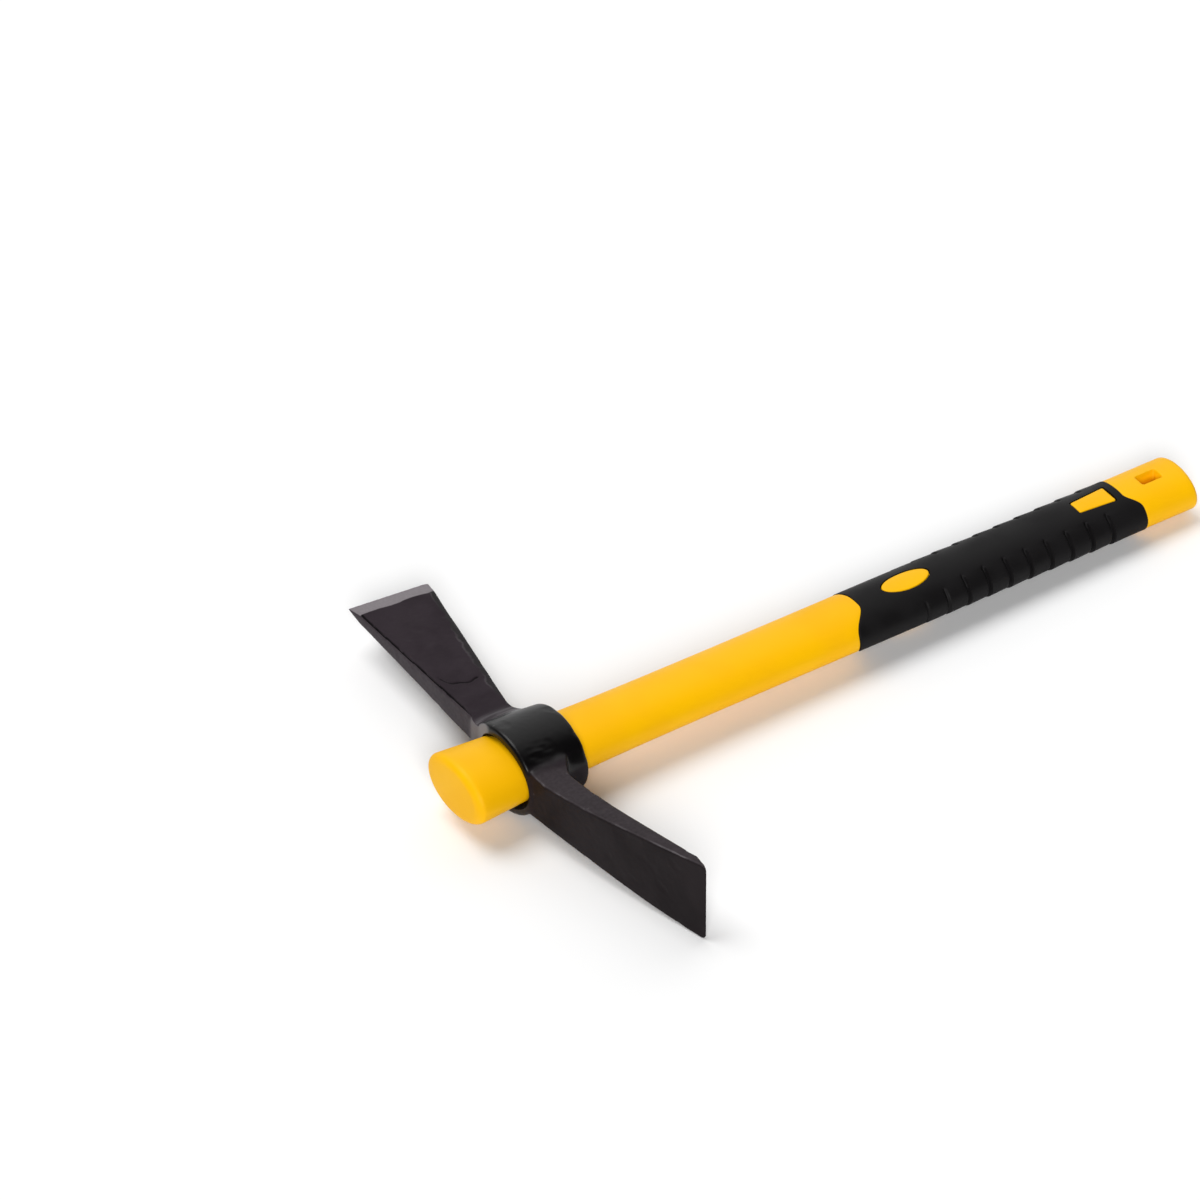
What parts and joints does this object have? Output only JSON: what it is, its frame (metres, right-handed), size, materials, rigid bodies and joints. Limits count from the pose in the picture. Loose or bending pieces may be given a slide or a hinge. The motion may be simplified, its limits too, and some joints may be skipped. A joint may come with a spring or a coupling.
{
  "type": "cutter mattock",
  "caption": "Short-handled cutter mattock: forged head with an adze and an axe blade, jammed on a flared overmoulded handle with a grooved soft grip and a hanging slot.",
  "frame": {"origin": "centre of the flat head end face of the handle", "axes": "+X along the handle axis to the butt, +Y to the axe blade, -Y to the adze, +Z square to the broad face of the handle"},
  "size_m": [0.38, 0.2508, 0.0392],
  "materials": {
    "head_lacquer": "satin black lacquer over a forged steel skin",
    "core_rod": "pultruded fibreglass",
    "jacket_plastic": "moulded, slightly glossy yellow",
    "grip_rubber": "matte black, fine moulded texture"
  },
  "bodies": {
    "root": {"head": "head_lacquer", "core": "core_rod", "jacket": "jacket_plastic", "grip": "grip_rubber"}
  },
  "joints": []
}
